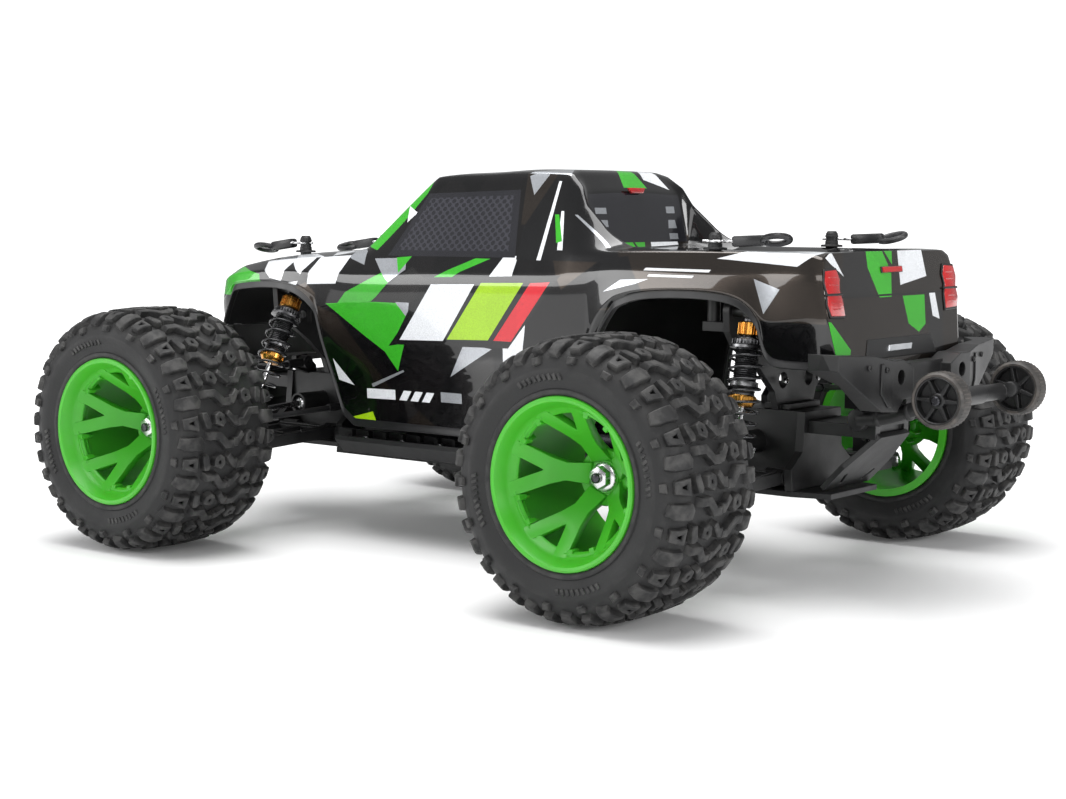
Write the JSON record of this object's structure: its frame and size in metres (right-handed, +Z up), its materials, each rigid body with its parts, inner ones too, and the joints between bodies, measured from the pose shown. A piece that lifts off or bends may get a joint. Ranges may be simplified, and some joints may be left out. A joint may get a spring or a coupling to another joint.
{
  "type": "radio-controlled monster truck",
  "caption": "Four-wheel-drive radio-controlled monster truck with sprung arms, steering, big lugged tyres, a painted pickup shell and a wheelie bar.",
  "frame": {"origin": "on the ground under the middle of the bounding box", "axes": "+X to the front of the truck, +Y to its left, +Z up"},
  "size_m": [0.5457, 0.409, 0.229],
  "materials": {
    "tyre_rubber": "matte",
    "rim_plastic": "satin",
    "steel": "polished",
    "nylon_black": "satin",
    "link_plastic": "satin",
    "damper_alloy": "anodised black and gold",
    "spring_steel": "gloss",
    "chassis_nylon": "satin",
    "motor_can": "satin",
    "electronics": "satin",
    "battery_wrap": "gloss",
    "bumper_nylon": "satin",
    "wheelie_rubber": "matte",
    "clip_rubber": "matte",
    "shell_paint": "gloss"
  },
  "bodies": {
    "chassis": {"chassis_tub": "chassis_nylon", "gearboxes": "nylon_black", "shock_towers": "nylon_black", "steering_servo": "electronics", "motor": "motor_can", "speed_controller": "electronics", "battery": "battery_wrap", "front_bumper": "bumper_nylon", "rear_bumper": "bumper_nylon", "wheelie_bar": "bumper_nylon", "body_clips": "clip_rubber", "body_shell": "shell_paint"},
    "arm_fl": {"lower_arm_fl": "nylon_black"},
    "caster_l": {"caster_block_l": "nylon_black"},
    "knuckle_fl": {"knuckle_fl": "nylon_black"},
    "wheel_fl": {"tyre_fl": "tyre_rubber", "rim_fl": "rim_plastic", "stub_axle_fl": "steel"},
    "link_fl": {"upper_link_fl": "link_plastic"},
    "shaft_fl": {"half_shaft_fl": "steel"},
    "damper_fl": {"damper_body_fl": "damper_alloy", "spring_fl": "spring_steel"},
    "rod_fl": {"damper_rod_fl": "steel"},
    "arm_fr": {"lower_arm_fr": "nylon_black"},
    "caster_r": {"caster_block_r": "nylon_black"},
    "knuckle_fr": {"knuckle_fr": "nylon_black"},
    "wheel_fr": {"tyre_fr": "tyre_rubber", "rim_fr": "rim_plastic", "stub_axle_fr": "steel"},
    "link_fr": {"upper_link_fr": "link_plastic"},
    "shaft_fr": {"half_shaft_fr": "steel"},
    "damper_fr": {"damper_body_fr": "damper_alloy", "spring_fr": "spring_steel"},
    "rod_fr": {"damper_rod_fr": "steel"},
    "arm_rl": {"lower_arm_rl": "nylon_black"},
    "hub_rl": {"hub_carrier_rl": "nylon_black"},
    "wheel_rl": {"tyre_rl": "tyre_rubber", "rim_rl": "rim_plastic", "stub_axle_rl": "steel"},
    "link_rl": {"upper_link_rl": "link_plastic"},
    "shaft_rl": {"half_shaft_rl": "steel"},
    "damper_rl": {"damper_body_rl": "damper_alloy", "spring_rl": "spring_steel"},
    "rod_rl": {"damper_rod_rl": "steel"},
    "arm_rr": {"lower_arm_rr": "nylon_black"},
    "hub_rr": {"hub_carrier_rr": "nylon_black"},
    "wheel_rr": {"tyre_rr": "tyre_rubber", "rim_rr": "rim_plastic", "stub_axle_rr": "steel"},
    "link_rr": {"upper_link_rr": "link_plastic"},
    "shaft_rr": {"half_shaft_rr": "steel"},
    "damper_rr": {"damper_body_rr": "damper_alloy", "spring_rr": "spring_steel"},
    "rod_rr": {"damper_rod_rr": "steel"},
    "rack": {"steering_rack": "link_plastic"},
    "tie_l": {"tie_rod_l": "link_plastic"},
    "tie_r": {"tie_rod_r": "link_plastic"},
    "drive": {"centre_shaft": "steel"},
    "pinion": {"motor_pinion": "steel"},
    "wheelie": {"wheelie_wheels": "wheelie_rubber"}
  },
  "joints": [
    {"name": "arm_fl_hinge", "type": "hinge", "parent": "chassis", "child": "arm_fl", "pos_m": [0.19935, 0.028, 0.06], "axis": [1, 0, 0], "range_deg": [-12, 12], "stiffness_Nm_per_rad": 8, "springref_deg": -3.15},
    {"name": "caster_l_hinge", "type": "hinge", "parent": "arm_fl", "child": "caster_l", "pos_m": [0.19935, 0.118, 0.055], "axis": [1, 0, 0], "range_deg": [-12, 12]},
    {"name": "link_fl_hinge", "type": "hinge", "parent": "chassis", "child": "link_fl", "pos_m": [0.20835, 0.026, 0.103], "axis": [1, 0, 0], "range_deg": [-12, 12]},
    {"name": "shaft_fl_swing", "type": "hinge", "parent": "chassis", "child": "shaft_fl", "pos_m": [0.19935, 0.038, 0.0775], "axis": [1, 0, 0], "range_deg": [-12, 12]},
    {"name": "damper_fl_swing", "type": "hinge", "parent": "chassis", "child": "damper_fl", "pos_m": [0.18285, 0.061, 0.152], "axis": [1, 0, 0], "range_deg": [-3.22, 3.22]},
    {"name": "damper_fl_slide", "type": "slide", "parent": "damper_fl", "child": "rod_fl", "axis": [0, 0.4561, -0.8899], "range_m": [-0.0152, 0.0152], "deforming": ["spring_fl"]},
    {"name": "steer_fl", "type": "hinge", "parent": "caster_l", "child": "knuckle_fl", "pos_m": [0.19935, 0.128, 0.0725], "axis": [0, 0, 1], "range_deg": [-25, 25]},
    {"name": "wheel_fl_spin", "type": "hinge", "parent": "knuckle_fl", "child": "wheel_fl", "pos_m": [0.19935, 0.1665, 0.0725], "axis": [0, 1, 0], "continuous": true},
    {"name": "arm_fr_hinge", "type": "hinge", "parent": "chassis", "child": "arm_fr", "pos_m": [0.19935, -0.028, 0.06], "axis": [-1, 0, 0], "range_deg": [-12, 12], "stiffness_Nm_per_rad": 8, "springref_deg": -3.15},
    {"name": "caster_r_hinge", "type": "hinge", "parent": "arm_fr", "child": "caster_r", "pos_m": [0.19935, -0.118, 0.055], "axis": [-1, 0, 0], "range_deg": [-12, 12]},
    {"name": "link_fr_hinge", "type": "hinge", "parent": "chassis", "child": "link_fr", "pos_m": [0.20835, -0.026, 0.103], "axis": [-1, 0, 0], "range_deg": [-12, 12]},
    {"name": "shaft_fr_swing", "type": "hinge", "parent": "chassis", "child": "shaft_fr", "pos_m": [0.19935, -0.038, 0.0775], "axis": [-1, 0, 0], "range_deg": [-12, 12]},
    {"name": "damper_fr_swing", "type": "hinge", "parent": "chassis", "child": "damper_fr", "pos_m": [0.18285, -0.061, 0.152], "axis": [-1, 0, 0], "range_deg": [-3.22, 3.22]},
    {"name": "damper_fr_slide", "type": "slide", "parent": "damper_fr", "child": "rod_fr", "axis": [0, -0.4561, -0.8899], "range_m": [-0.0152, 0.0152], "deforming": ["spring_fr"]},
    {"name": "steer_fr", "type": "hinge", "parent": "caster_r", "child": "knuckle_fr", "pos_m": [0.19935, -0.128, 0.0725], "axis": [0, 0, 1], "range_deg": [-25, 25]},
    {"name": "wheel_fr_spin", "type": "hinge", "parent": "knuckle_fr", "child": "wheel_fr", "pos_m": [0.19935, -0.1665, 0.0725], "axis": [0, 1, 0], "continuous": true},
    {"name": "arm_rl_hinge", "type": "hinge", "parent": "chassis", "child": "arm_rl", "pos_m": [-0.13365, 0.028, 0.06], "axis": [1, 0, 0], "range_deg": [-12, 12], "stiffness_Nm_per_rad": 8, "springref_deg": -3.15},
    {"name": "hub_rl_hinge", "type": "hinge", "parent": "arm_rl", "child": "hub_rl", "pos_m": [-0.13365, 0.118, 0.055], "axis": [1, 0, 0], "range_deg": [-12, 12]},
    {"name": "link_rl_hinge", "type": "hinge", "parent": "chassis", "child": "link_rl", "pos_m": [-0.12465, 0.026, 0.103], "axis": [1, 0, 0], "range_deg": [-12, 12]},
    {"name": "shaft_rl_swing", "type": "hinge", "parent": "chassis", "child": "shaft_rl", "pos_m": [-0.13365, 0.038, 0.0775], "axis": [1, 0, 0], "range_deg": [-12, 12]},
    {"name": "damper_rl_swing", "type": "hinge", "parent": "chassis", "child": "damper_rl", "pos_m": [-0.15715, 0.066, 0.152], "axis": [1, 0, 0], "range_deg": [-0.43, 0.43]},
    {"name": "damper_rl_slide", "type": "slide", "parent": "damper_rl", "child": "rod_rl", "axis": [0, 0.1683, -0.9857], "range_m": [-0.0113, 0.0113], "deforming": ["spring_rl"]},
    {"name": "wheel_rl_spin", "type": "hinge", "parent": "hub_rl", "child": "wheel_rl", "pos_m": [-0.13365, 0.1665, 0.0725], "axis": [0, 1, 0], "continuous": true},
    {"name": "arm_rr_hinge", "type": "hinge", "parent": "chassis", "child": "arm_rr", "pos_m": [-0.13365, -0.028, 0.06], "axis": [-1, 0, 0], "range_deg": [-12, 12], "stiffness_Nm_per_rad": 8, "springref_deg": -3.15},
    {"name": "hub_rr_hinge", "type": "hinge", "parent": "arm_rr", "child": "hub_rr", "pos_m": [-0.13365, -0.118, 0.055], "axis": [-1, 0, 0], "range_deg": [-12, 12]},
    {"name": "link_rr_hinge", "type": "hinge", "parent": "chassis", "child": "link_rr", "pos_m": [-0.12465, -0.026, 0.103], "axis": [-1, 0, 0], "range_deg": [-12, 12]},
    {"name": "shaft_rr_swing", "type": "hinge", "parent": "chassis", "child": "shaft_rr", "pos_m": [-0.13365, -0.038, 0.0775], "axis": [-1, 0, 0], "range_deg": [-12, 12]},
    {"name": "damper_rr_swing", "type": "hinge", "parent": "chassis", "child": "damper_rr", "pos_m": [-0.15715, -0.066, 0.152], "axis": [-1, 0, 0], "range_deg": [-0.43, 0.43]},
    {"name": "damper_rr_slide", "type": "slide", "parent": "damper_rr", "child": "rod_rr", "axis": [0, -0.1683, -0.9857], "range_m": [-0.0113, 0.0113], "deforming": ["spring_rr"]},
    {"name": "wheel_rr_spin", "type": "hinge", "parent": "hub_rr", "child": "wheel_rr", "pos_m": [-0.13365, -0.1665, 0.0725], "axis": [0, 1, 0], "continuous": true},
    {"name": "rack_slide", "type": "slide", "parent": "chassis", "child": "rack", "axis": [0, 1, 0], "range_m": [-0.0104, 0.0104]},
    {"name": "tie_l_swing", "type": "hinge", "parent": "rack", "child": "tie_l", "pos_m": [0.16285, 0.034, 0.078], "axis": [1, 0, 0], "range_deg": [-12, 12]},
    {"name": "tie_r_swing", "type": "hinge", "parent": "rack", "child": "tie_r", "pos_m": [0.16285, -0.034, 0.078], "axis": [-1, 0, 0], "range_deg": [-12, 12]},
    {"name": "centre_shaft_spin", "type": "hinge", "parent": "chassis", "child": "drive", "pos_m": [0.03285, 0, 0.076], "axis": [1, 0, 0], "continuous": true},
    {"name": "pinion_spin", "type": "hinge", "parent": "chassis", "child": "pinion", "pos_m": [-0.00465, 0.028, 0.076], "axis": [1, 0, 0], "continuous": true},
    {"name": "wheelie_wheels_spin", "type": "hinge", "parent": "chassis", "child": "wheelie", "pos_m": [-0.25815, 0, 0.1106], "axis": [0, 1, 0], "continuous": true}
  ],
  "couplings": [
    {"joint": "caster_l_hinge", "follows": "arm_fl_hinge", "ratio": -1},
    {"joint": "link_fl_hinge", "follows": "arm_fl_hinge", "ratio": 1},
    {"joint": "shaft_fl_swing", "follows": "arm_fl_hinge", "ratio": 1},
    {"joint": "damper_fl_swing", "follows": "arm_fl_hinge", "ratio": 0.2519},
    {"joint": "damper_fl_slide", "follows": "arm_fl_hinge", "m_per_rad": -0.07119},
    {"joint": "caster_r_hinge", "follows": "arm_fr_hinge", "ratio": -1},
    {"joint": "link_fr_hinge", "follows": "arm_fr_hinge", "ratio": 1},
    {"joint": "shaft_fr_swing", "follows": "arm_fr_hinge", "ratio": 1},
    {"joint": "damper_fr_swing", "follows": "arm_fr_hinge", "ratio": 0.2519},
    {"joint": "damper_fr_slide", "follows": "arm_fr_hinge", "m_per_rad": -0.07119},
    {"joint": "steer_fr", "follows": "steer_fl", "ratio": 1},
    {"joint": "hub_rl_hinge", "follows": "arm_rl_hinge", "ratio": -1},
    {"joint": "link_rl_hinge", "follows": "arm_rl_hinge", "ratio": 1},
    {"joint": "shaft_rl_swing", "follows": "arm_rl_hinge", "ratio": 1},
    {"joint": "damper_rl_swing", "follows": "arm_rl_hinge", "ratio": -0.019},
    {"joint": "damper_rl_slide", "follows": "arm_rl_hinge", "m_per_rad": -0.05269},
    {"joint": "hub_rr_hinge", "follows": "arm_rr_hinge", "ratio": -1},
    {"joint": "link_rr_hinge", "follows": "arm_rr_hinge", "ratio": 1},
    {"joint": "shaft_rr_swing", "follows": "arm_rr_hinge", "ratio": 1},
    {"joint": "damper_rr_swing", "follows": "arm_rr_hinge", "ratio": -0.019},
    {"joint": "damper_rr_slide", "follows": "arm_rr_hinge", "m_per_rad": -0.05269},
    {"joint": "rack_slide", "follows": "steer_fl", "m_per_rad": -0.02325},
    {"joint": "tie_l_swing", "follows": "arm_fl_hinge", "ratio": 1},
    {"joint": "tie_r_swing", "follows": "arm_fr_hinge", "ratio": 1},
    {"joint": "pinion_spin", "follows": "centre_shaft_spin", "ratio": -2.6842}
  ]
}
